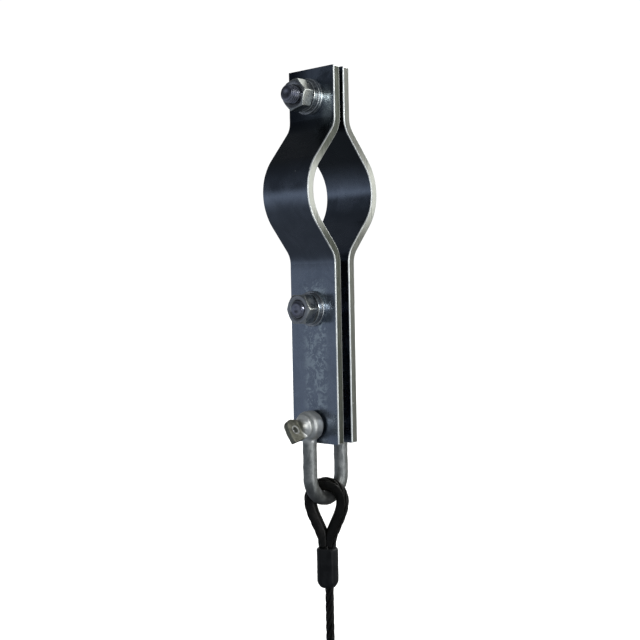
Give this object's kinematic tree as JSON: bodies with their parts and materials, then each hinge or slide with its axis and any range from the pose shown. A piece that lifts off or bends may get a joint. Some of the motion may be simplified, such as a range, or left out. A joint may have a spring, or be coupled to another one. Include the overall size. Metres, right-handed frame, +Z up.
{
  "type": "pipe clamp",
  "caption": "Two-half bolted steel clamp that hangs from a 48.3 mm tube, with a screw-pin shackle in its lower ends and a black wire rope sling in the shackle.",
  "frame": {"origin": "on the axis of the clamped tube, in the middle of the clamp's width", "axes": "+X along the tube, +Z up, -Y towards the front, where the nuts are"},
  "size_m": [0.035, 0.0597, 0.3923],
  "materials": {
    "strap_steel": "dark blue-grey zinc plate, satin, brighter on its rolled edges",
    "bolt_zinc": "bright zinc plate",
    "nut_zinc": "bright zinc plate",
    "washer_zinc": "bright zinc plate",
    "spring_steel": "zinc plated spring steel",
    "shackle_galvanised": "satin galvanised steel",
    "pin_galvanised": "rough galvanised forging",
    "black_thimble": "black coating, satin",
    "black_rope": "black stranded wire rope",
    "black_ferrule": "black pressed sleeve, satin"
  },
  "bodies": {
    "back_half": {"back_plate": "strap_steel", "top_bolt": "bolt_zinc", "middle_bolt": "bolt_zinc", "top_back_washer": "washer_zinc", "middle_back_washer": "washer_zinc"},
    "front_half": {"front_plate": "strap_steel"},
    "top_washer_stack": {"top_inner_washer": "washer_zinc", "top_outer_washer": "washer_zinc", "top_spring_washer": "spring_steel"},
    "top_nut": {"top_nut": "nut_zinc"},
    "middle_washer_stack": {"middle_front_washer": "washer_zinc", "middle_spring_washer": "spring_steel"},
    "middle_nut": {"middle_nut": "nut_zinc"},
    "shackle": {"shackle_bow": "shackle_galvanised"},
    "pin": {"shackle_pin": "pin_galvanised"},
    "sling": {"upper_thimble": "black_thimble", "upper_rope_eye": "black_rope", "upper_ferrule": "black_ferrule", "wire_rope": "black_rope", "lower_ferrule": "black_ferrule", "lower_rope_eye": "black_rope", "lower_thimble": "black_thimble"}
  },
  "joints": [
    {"name": "front_half_tilt", "type": "hinge", "parent": "back_half", "child": "front_half", "pos_m": [0, -0.0082, -0.05495], "axis": [1, 0, 0], "range_deg": [0, 3.01]},
    {"name": "top_washer_slide", "type": "slide", "parent": "back_half", "child": "top_washer_stack", "axis": [0, -1, 0], "range_m": [0, 0.00625]},
    {"name": "top_nut_turn", "type": "hinge", "parent": "top_washer_stack", "child": "top_nut", "pos_m": [0, -0.0151, 0.054], "axis": [0, -1, 0], "range_deg": [0, 1502]},
    {"name": "middle_washer_slide", "type": "slide", "parent": "back_half", "child": "middle_washer_stack", "axis": [0, -1, 0], "range_m": [0, 0.0045]},
    {"name": "middle_nut_turn", "type": "hinge", "parent": "middle_washer_stack", "child": "middle_nut", "pos_m": [0, -0.0148, -0.065], "axis": [0, -1, 0], "range_deg": [0, 1082]},
    {"name": "shackle_swing", "type": "hinge", "parent": "back_half", "child": "shackle", "pos_m": [0, 0, -0.1307], "axis": [0, 1, 0], "range_deg": [-120, 120]},
    {"name": "pin_withdraw", "type": "slide", "parent": "shackle", "child": "pin", "axis": [0, -1, 0], "range_m": [0, 0.036]},
    {"name": "sling_swing", "type": "hinge", "parent": "shackle", "child": "sling", "pos_m": [0, 0, -0.1606], "axis": [1, 0, 0], "range_deg": [-45, 45]}
  ],
  "couplings": [
    {"joint": "front_half_tilt", "follows": "top_washer_slide", "rad_per_m": 8.377},
    {"joint": "top_nut_turn", "follows": "top_washer_slide", "rad_per_m": 4188.8},
    {"joint": "middle_nut_turn", "follows": "middle_washer_slide", "rad_per_m": 4188.8}
  ]
}
